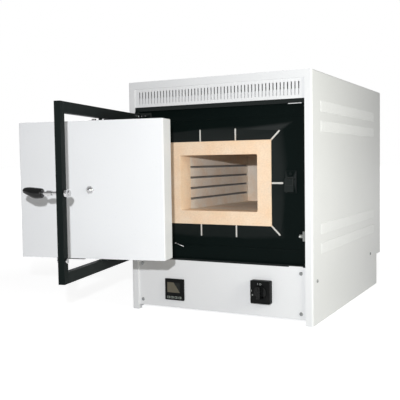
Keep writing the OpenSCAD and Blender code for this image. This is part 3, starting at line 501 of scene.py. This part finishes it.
def new_piece(name, build, material, body, smooth=True):
    """A mesh piece built by a function of a bmesh, in the frame's own coordinates."""
    mesh = bpy.data.meshes.new(name)
    shape = bmesh.new()
    build(shape)
    bmesh.ops.recalc_face_normals(shape, faces=shape.faces)
    shape.to_mesh(mesh)
    shape.free()
    for face in mesh.polygons:
        face.use_smooth = smooth
    thing = bpy.data.objects.new(name, mesh)
    bpy.context.scene.collection.objects.link(thing)
    mesh.materials.append(material)
    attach(thing, body)
    return thing


def rings_to_skin(shape, rings, closed=False):
    """Joins rings of points of equal number into a skin, capped at both ends unless the rings close."""
    made = [[shape.verts.new(point) for point in ring] for ring in rings]
    count = len(made[0])
    pairs = list(zip(made, made[1:] + made[:1])) if closed else list(zip(made, made[1:]))
    for one, other in pairs:
        for i in range(count):
            j = (i + 1) % count
            shape.faces.new((one[i], one[j], other[j], other[i]))
    if not closed:
        shape.faces.new(made[0][::-1])
        shape.faces.new(made[-1])


def frame_of(axis, up=Vector((0, 0, 1))):
    """Two unit vectors square to an axis."""
    axis = axis.normalized()
    side = up.cross(axis)
    if side.length < 1e-4:
        side = Vector((1, 0, 0)).cross(axis)
    side.normalize()
    return side, axis.cross(side)


def lathe(shape, start, axis, profile, steps=40):
    """Turns a profile of (distance along the axis, radius) round an axis."""
    side, up = frame_of(axis)
    axis = axis.normalized()
    rings = []
    for along, radius in profile:
        ring = []
        for i in range(steps):
            turn = 2 * math.pi * i / steps
            ring.append(start + axis * along + (side * math.cos(turn) + up * math.sin(turn)) * radius)
        rings.append(ring)
    rings_to_skin(shape, rings)


def tube(shape, points, radius, sides=6):
    """A tube along a list of points."""
    rings = []
    for i, point in enumerate(points):
        ahead = points[min(i + 1, len(points) - 1)] - points[max(i - 1, 0)]
        steep = abs(ahead.normalized().z) > 0.9
        side, up = frame_of(ahead, Vector((0, 1, 0)) if steep else Vector((0, 0, 1)))
        ring = []
        for k in range(sides):
            turn = 2 * math.pi * k / sides
            ring.append(point + (side * math.cos(turn) + up * math.sin(turn)) * radius)
        rings.append(ring)
    rings_to_skin(shape, rings)


def block(shape, low, high, edge=0.0, segments=2):
    """A box between two corners, with rounded edges."""
    low, high = Vector(low), Vector(high)
    made = bmesh.ops.create_cube(shape, size=1.0, matrix=Matrix.Translation((low + high) / 2))
    centre = (low + high) / 2
    for corner in made["verts"]:
        offset = corner.co - centre
        corner.co = centre + Vector(a * b for a, b in zip(offset, high - low))
    if edge > 0.0:
        edges = list({e for corner in made["verts"] for e in corner.link_edges})
        bmesh.ops.bevel(shape, geom=edges, offset=edge, segments=segments, affect="EDGES", profile=0.5)


def front_block(shape, low, high, edge=0.0):
    """A box between two points given in millimetres from the middle of the case's front edge."""
    block(shape, at_front(*low), at_front(*high), edge * MM, 1)


# Stage


def stage_material(stage):
    """A matt floor that keeps the kiln's shadow and turns plain white further away."""
    material = bpy.data.materials.new("Pale Floor")
    material.use_nodes = True
    tree = material.node_tree
    tree.nodes.clear()
    place = tree.nodes.new("ShaderNodeTexCoord").outputs["Object"]
    cloud = texture_noise(tree, 3.0, 2.0, place)
    tone = remap(tree, cloud, 0.3, 0.7, stage.floor_tone - 0.01, stage.floor_tone)
    matt = add_node(tree, "ShaderNodeBsdfDiffuse", {"Color": tone})
    away = add_node(tree, "ShaderNodeVectorMath", {0: place}, operation="LENGTH").outputs["Value"]
    white = remap(tree, away, 0.75, 2.0, stage.floor_near, 1.0)
    seen = add_node(tree, "ShaderNodeLightPath")
    direct = maths(tree, "MAXIMUM", seen.outputs["Is Camera Ray"], seen.outputs["Is Glossy Ray"])
    glow = add_node(
        tree, "ShaderNodeEmission",
        {"Color": (1.0, 1.0, 1.0, 1.0), "Strength": maths(tree, "MULTIPLY", direct, white)},
    )
    both = add_node(tree, "ShaderNodeAddShader", {0: matt.outputs[0], 1: glow.outputs[0]})
    out = tree.nodes.new("ShaderNodeOutputMaterial")
    tree.links.new(both.outputs[0], out.inputs["Surface"])
    return material


def set_sky(stage):
    world = bpy.data.worlds.new("Even Light")
    bpy.context.scene.world = world
    world.use_nodes = True
    tree = world.node_tree
    tree.nodes.clear()
    seen = add_node(tree, "ShaderNodeLightPath")
    glossy = seen.outputs["Is Glossy Ray"]
    mirrored = add_node(tree, "ShaderNodeMix", {0: glossy, 2: stage.sky, 3: stage.mirrored_sky})
    direct = maths(tree, "MAXIMUM", seen.outputs["Is Camera Ray"], seen.outputs["Is Transmission Ray"])
    level = add_node(tree, "ShaderNodeMix", {0: direct, 2: mirrored.outputs[0], 3: 1.0})
    light = add_node(
        tree, "ShaderNodeBackground", {"Color": (1.0, 1.0, 1.0, 1.0), "Strength": level.outputs[0]}
    )
    out = tree.nodes.new("ShaderNodeOutputWorld")
    tree.links.new(light.outputs[0], out.inputs["Surface"])


def set_camera(stage):
    a, e, r = stage.azimuth, stage.elevation, stage.roll
    ahead = Vector((-math.sin(a) * math.cos(e), math.cos(a) * math.cos(e), -math.sin(e)))
    level = Vector((math.cos(a), math.sin(a), 0.0))
    above = level.cross(ahead)
    right = level * math.cos(r) + above * math.sin(r)
    up = above * math.cos(r) - level * math.sin(r)
    data = bpy.data.cameras.new("Camera")
    data.lens = stage.lens
    data.sensor_width = 36.0
    data.clip_start, data.clip_end = 0.05, 50.0
    camera = bpy.data.objects.new("Camera", data)
    bpy.context.scene.collection.objects.link(camera)
    turn = Matrix((right, up, -ahead)).transposed().to_4x4()
    camera.matrix_world = Matrix.Translation(FRONT + Vector(stage.eye)) @ turn
    bpy.context.scene.camera = camera
    return camera, right, up


def add_lamp(name, place, target, watts, colour, width):
    data = bpy.data.lights.new(name, "AREA")
    data.energy = watts
    data.color = colour
    data.shape = "DISK"
    data.size = width
    lamp = bpy.data.objects.new(name, data)
    lamp.visible_camera = False
    lamp.location = place
    lamp.rotation_euler = (target - place).to_track_quat("-Z", "Y").to_euler()
    bpy.context.scene.collection.objects.link(lamp)
    return lamp


class KILN_OT_stage(bpy.types.Operator):
    """Sets the floor, the light and the camera"""

    bl_idname = "kiln.stage"
    bl_label = "Set Stage"

    def execute(self, context):
        stage = context.scene.kiln_stage
        mesh = bpy.data.meshes.new("Floor")
        reach = 30.0
        corners = [(-reach, -reach, 0), (reach, -reach, 0), (reach, reach, 0), (-reach, reach, 0)]
        mesh.from_pydata(corners, [], [(0, 1, 2, 3)])
        floor = bpy.data.objects.new("Floor", mesh)
        floor.location.z = cad_low.z - 0.2 * MM
        context.scene.collection.objects.link(floor)
        mesh.materials.append(stage_material(stage))
        set_sky(stage)
        camera, right, up = set_camera(stage)
        above = camera.location + up * 0.11 - right * 0.045
        add_lamp("Key", above, at_front(0, 100, 270), stage.key, stage.key_colour, stage.key_width)
        beside = at_front(957, -227, 449)
        add_lamp("Side", beside, at_front(150, 0, 280), stage.side, stage.side_colour, stage.side_width)
        context.scene.view_settings.view_transform = "Standard"
        return {"FINISHED"}


# Case


def build_keeper_rim(shape):
    """Raised rim round the window of the keeper, on its block's face."""
    left, right, bottom, top, bar = 161.0, 177.0, 286.7, 304.0, 1.6
    back, face = -0.5, -1.1
    front_block(shape, (left, face, bottom), (left + bar, back, top), 0.2)
    front_block(shape, (right - bar, face, bottom), (right, back, top), 0.2)
    front_block(shape, (left + bar, face, top - bar), (right - bar, back, top), 0.2)
    front_block(shape, (left + bar, face, bottom), (right - bar, back, bottom + bar), 0.2)


def build_joint_light(shape):
    """White slivers where the cover shows past the plate's folded lips."""
    front_block(shape, (166.7, 2.2, 452.7), (195.3, 3.4, 453.9))
    front_block(shape, (165.5, 3.4, 119.6), (195.7, 4.0, 121.4))


def build_hinge_screws(shape):
    """Two domed screw heads on the upper hinge bracket."""
    foot_face, height = 10.2, 444.3
    dome = [(0, 0.0017), (0.0004, 0.0016), (0.0007, 0.0008)]
    for x in (-190.8, -180.6):
        lathe(shape, at_front(x, foot_face, height), OUTWARD, dome, 16)


def build_tube_clip(shape):
    """A bright flattened wire clip on the plate, with a dome at its end; the shut leaf passes over it."""
    plate_face, wire, flattened = 12.6, 0.0011, 0.2
    upper, lower = at_front(-107.9, plate_face, 156.3), at_front(-87.4, plate_face, 149.4)
    tube(shape, [upper, (upper + lower) / 2, lower], wire, 10)
    for corner in shape.verts:
        corner.co.y = upper.y + min(corner.co.y - upper.y, 0.0) * flattened
    lathe(shape, upper, OUTWARD, [(0, 0.0018), (0.0002, 0.0016), (0.00032, 0.0008)], 16)


class KILN_OT_case(bpy.types.Operator):
    """Paints the cover, the panels and the plate"""

    bl_idname = "kiln.case"
    bl_label = "Paint Case"

    def execute(self, context):
        edge = context.scene.kiln_shapes.panel_edge
        dress("outer_cover", white_paint())
        for node in ("control_panel", "front_grille", "upper_rear_panel", "lower_rear_panel"):
            dress(node, white_paint(), edge, 1)
        dress("front_plate", black_paint(), edge, 2)
        for node in ("keeper", "hinge_bracket_top", "hinge_bracket_bottom", "link_bracket"):
            dress(node, black_paint(), edge, 2)
        for node in ("base_tray", "chamber_shelf", "jacket_rails", "inner_jacket", "thermocouple_head"):
            dress(node, zinc_sheet())
        dress("panel_screws", dark_metal())
        for name, build, material, slot, smooth in (
            ("keeper_rim", build_keeper_rim, black_paint(), "black_paint", False),
            ("plate_joint_light", build_joint_light, white_paint(), "white_paint", False),
            ("hinge_screws", build_hinge_screws, bright_metal(), "bright_steel", True),
            ("tube_clip", build_tube_clip, bright_metal(), "bright_steel", True),
        ):
            new_piece(name, build, material, "case", smooth)
        return {"FINISHED"}


# Muffle


def coil_points(node, pitch, wire):
    """Helices in the place of the straight rods of a coil node, one list of points for each rod."""
    low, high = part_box(node)
    radius = (high.x - low.x) / 2 - wire
    x = (low.x + high.x) / 2
    steps_per_turn = 10
    lists = []
    for z in rod_levels(node):
        turns = int((high.y - low.y - 2 * wire) / pitch)
        points = []
        for i in range(turns * steps_per_turn + 1):
            turn = 2 * math.pi * i / steps_per_turn
            y = low.y + wire + pitch * i / steps_per_turn
            points.append(Vector((x + radius * math.cos(turn), y, z + radius * math.sin(turn))))
        lists.append(points)
    return lists


def rod_levels(node):
    """Heights of the rods in a coil node, read from its corners."""
    low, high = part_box(node)
    rod = high.x - low.x
    next_rod = rod * 1.5
    heights = sorted(v.co.z for v in frame["nodes"][node].data.vertices)
    starts = [heights[0]]
    for z in heights:
        if z - starts[-1] > next_rod:
            starts.append(z)
    return [z + rod / 2 for z in starts]


class KILN_OT_muffle(bpy.types.Operator):
    """Finishes the fibre boards and winds the heating coils"""

    bl_idname = "kiln.muffle"
    bl_label = "Finish Muffle"

    def execute(self, context):
        tones = context.scene.kiln_finish
        shapes = context.scene.kiln_shapes
        cold = fibre("Cold Fibre", tones.white_fibre, 0.0)
        for node in ("front_insulation", "top_insulation", "bottom_insulation", "left_insulation",
                     "right_insulation", "rear_insulation"):
            dress(node, cold)
        collar = fibre("Collar Fibre", tones.collar_fibre, 0.35, 380.0, 0.45)
        dress("chamber_collar", collar, shapes.board_edge, 3)
        fired = fibre("Fired Fibre", tones.fired_fibre, 0.12)
        for node in ("chamber_left_wall", "chamber_right_wall", "chamber_hearth", "chamber_back_wall"):
            dress(node, fired)
        # The roof's dark brown tint is painted shade for the shadow under the collar's top; the fibre group
        # adds only a little heat tan.
        dress("chamber_roof", fibre("Roof Painted Shade Fibre", tones.roof_painted_shade, 0.10))
        for side in ("left", "right"):
            node = side + "_heating_coils"
            wound = coil_points(node, shapes.coil_pitch, shapes.wire_radius)

            def build(shape, wound=wound):
                for points in wound:
                    tube(shape, points, shapes.wire_radius, 5)

            coils = new_piece(side + "_coil_windings", build, wire_metal(), "case")
            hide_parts(node)
        dress("thermocouple", fibre("Thermocouple Tube", (0.75, 0.72, 0.66), 0.0, 900.0, 0.1))
        return {"FINISHED"}


# Controls


def build_switch_marks(shape):
    """Raised on and off marks and a pointer round the main switch."""
    low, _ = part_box("switch_cover")
    height = bpy.context.scene.kiln_shapes.mark_height
    knob = middle("switch_knob")
    face = Vector((knob.x, low.y - height / 2, knob.z))

    def bar(x, z, width, tall):
        half = Vector((width / 2 * MM, height / 2, tall / 2 * MM))
        place = face + Vector((x, 0, z)) * MM
        block(shape, place - half, place + half)

    def at_depth(depth, outline):
        return [face + Vector((x * MM, depth * height, z * MM)) for x, z in outline]

    def oval(wide, tall):
        turns = [2 * math.pi * i / 20 for i in range(20)]
        return [(off_x + wide * math.cos(turn), top_row + tall * math.sin(turn)) for turn in turns]

    top_row, off_x = 17.2, 0.9
    bar(-5.0, top_row, 1.2, 4.4)
    bar(-19.0, 2.2, 1.6, 4.5)
    outer, inner = oval(2.7, 2.1), oval(1.7, 1.1)
    rings_to_skin(shape, [
        at_depth(-0.5, outer), at_depth(0.5, outer), at_depth(0.5, inner), at_depth(-0.5, inner)
    ], closed=True)
    pointer = [(-14.4, -6.4), (-18.4, -4.0), (-18.4, -8.8)]
    rings_to_skin(shape, [at_depth(-0.5, pointer), at_depth(0.5, pointer)])


class KILN_OT_controls(bpy.types.Operator):
    """Finishes the controller and the main switch"""

    bl_idname = "kiln.controls"
    bl_label = "Finish Controls"

    def execute(self, context):
        tones = context.scene.kiln_finish
        black = moulded("Black Moulding", tones.black_plastic, 0.42, 0.12, 0.01, specular_ior_level=0.1)
        for node in ("controller_body", "switch_body", "cable_gland"):
            dress(node, black)
        dress("controller_bezel", black, 0.0004)
        low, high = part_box("controller_window")
        # The window's pale half, slanted off from the dark half, is a painted reflection.
        glass = finish_material(
            "Display Window", "Display Glass",
            {"Color": tones.glass_painted_reflection, "Deep Color": tones.glass_dark,
             "Start": ((low.x + high.x) / 2, low.y, high.z),
             "Slant": Vector((high.z - low.z, 0.0, (high.x - low.x) / 2)).normalized()},
            coat_weight=0.1, specular_ior_level=0.15,
        )
        dress("controller_window", glass)
        keys = moulded("Key Rubber", tones.key_grey, 0.5, 0.1, 0.02)
        for i in range(1, 5):
            dress(f"controller_key_{i}", keys, 0.0009, 3)

            def build(shape, key=f"controller_key_{i}"):
                low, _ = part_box(key)
                face = Vector((middle(key).x, low.y, middle(key).z))
                lathe(shape, face, OUTWARD, [(0, 0.0016), (0.0002, 0.0015)], 20)

            dot = new_piece(f"key_dot_{i}", build, black, f"key_{i}")
        dress("switch_cover", black, 0.0009, 3)
        knob = moulded("Knob Moulding", tones.black_plastic, 0.22, 0.05, 0.01, specular_ior_level=0.2)
        dress("switch_knob", knob, 0.0006)
        inlay = moulded("Mark Inlay", (0.22, 0.23, 0.22), 0.5)
        new_piece("switch_marks", build_switch_marks, inlay, "case")
        dress("power_relay", dark_metal())
        pale = moulded("Pale Moulding", (0.62, 0.64, 0.62), 0.45)
        for node in ("terminal_block", "door_switch_plunger"):
            dress(node, pale)
        dress("door_switch", moulded("Door Switch Moulding", tones.switch_grey, 0.5), 0.0004)
        return {"FINISHED"}


# Door


class KILN_OT_door(bpy.types.Operator):
    """Finishes the yoke, the leaf and the link"""

    bl_idname = "kiln.door"
    bl_label = "Finish Door"

    def execute(self, context):
        tones = context.scene.kiln_finish
        shapes = context.scene.kiln_shapes
        for node in ("yoke_hinge_bar", "yoke_top_arm", "yoke_bottom_arm", "yoke_outer_bar"):
            dress(node, black_paint(), shapes.yoke_edge, 3)
        dress("door_link", black_paint(), shapes.panel_edge)
        dress("leaf_shell", white_paint(), shapes.panel_edge)
        dress("leaf_pad", fibre("Leaf Fibre", tones.collar_fibre, 0.35))
        for node in ("yoke_bolts", "leaf_centre_bolt", "leaf_pivot_plate"):
            dress(node, bright_metal(), 0.0003)
        dress("leaf_buffer", moulded("Strip Rubber", tones.black_plastic, 0.6))
        return {"FINISHED"}


# Handle


# Millimetres from the grip's root, and the radius there
GRIP_PROFILE = [
    (0.0, 7.9), (0.8, 8.5), (4.0, 9.0), (9.0, 9.65), (14.0, 9.9), (20.0, 9.4),
    (26.0, 8.2), (31.0, 6.8), (35.0, 5.3), (37.5, 3.7), (38.7, 1.7), (39.0, 0.3),
]
LIFT_START, LIFT_RUN = 12.0, 24.0


def build_grip(shape):
    """The grip's egg: rings along the shaft's axis that lift towards the tip."""
    joint = JOINTS["handle_turn"]
    start, axis = Vector(joint["pos_m"]), Vector(joint["axis"]).normalized()
    reach = [(v.co - start).dot(axis) for v in frame["nodes"]["handle_grip"].data.vertices]
    root, length = min(reach), max(reach) - min(reach)
    side, up = frame_of(axis)
    lift = bpy.context.scene.kiln_shapes.grip_lift
    stretch = length / (GRIP_PROFILE[-1][0] * MM)
    rings = []
    for along, radius in GRIP_PROFILE:
        t = min(max((along - LIFT_START) / LIFT_RUN, 0.0), 1.0)
        raised = Vector((0, 0, 1)) * lift * t * t * (3 - 2 * t)
        centre = start + axis * (root + along * MM * stretch) + raised
        turns = [2 * math.pi * i / 48 for i in range(48)]
        rings.append([centre + (side * math.cos(a) + up * math.sin(a)) * radius * MM for a in turns])
    rings_to_skin(shape, rings)


class KILN_OT_handle(bpy.types.Operator):
    """Finishes the handle and its cam"""

    bl_idname = "kiln.handle"
    bl_label = "Finish Handle"

    def execute(self, context):
        tones = context.scene.kiln_finish
        dress("handle_shaft", bright_metal())
        dress("latch_cam", bright_metal(), 0.0004)
        glossy = moulded("Grip Moulding", tones.black_plastic, 0.14, 0.04, 0.01, specular_ior_level=0.3)
        grip = new_piece("grip_skin", build_grip, glossy, "handle")
        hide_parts("handle_grip")
        smoother = grip.modifiers.new("Round Rings", "SUBSURF")
        smoother.levels = smoother.render_levels = 1
        return {"FINISHED"}


class KILN_PT_panel(bpy.types.Panel):
    """Lists the kiln's steps"""

    bl_label = "Kiln"
    bl_idname = "KILN_PT_panel"
    bl_space_type = "VIEW_3D"
    bl_region_type = "UI"
    bl_category = "Kiln"

    def draw(self, context):
        for operator in OPERATORS:
            self.layout.operator(operator.bl_idname)
        for settings in (context.scene.kiln_finish, context.scene.kiln_shapes, context.scene.kiln_stage):
            box = self.layout.box()
            for key in settings.__annotations__:
                box.prop(settings, key)


OPERATORS = (
    KILN_OT_stage,
    KILN_OT_case,
    KILN_OT_muffle,
    KILN_OT_controls,
    KILN_OT_door,
    KILN_OT_handle,
)
CLASSES = (KilnFinish, KilnShapes, KilnStage, *OPERATORS, KILN_PT_panel)


def register():
    for cls in CLASSES:
        bpy.utils.register_class(cls)
    bpy.types.Scene.kiln_finish = bpy.props.PointerProperty(type=KilnFinish)
    bpy.types.Scene.kiln_shapes = bpy.props.PointerProperty(type=KilnShapes)
    bpy.types.Scene.kiln_stage = bpy.props.PointerProperty(type=KilnStage)


def unregister():
    for name in ("kiln_finish", "kiln_shapes", "kiln_stage"):
        delattr(bpy.types.Scene, name)
    for cls in reversed(CLASSES):
        bpy.utils.unregister_class(cls)


def main():
    register()
    bpy.ops.kiln.stage()
    bpy.ops.kiln.case()
    bpy.ops.kiln.muffle()
    bpy.ops.kiln.controls()
    bpy.ops.kiln.door()
    bpy.ops.kiln.handle()


if __name__ == "__main__":
    main()
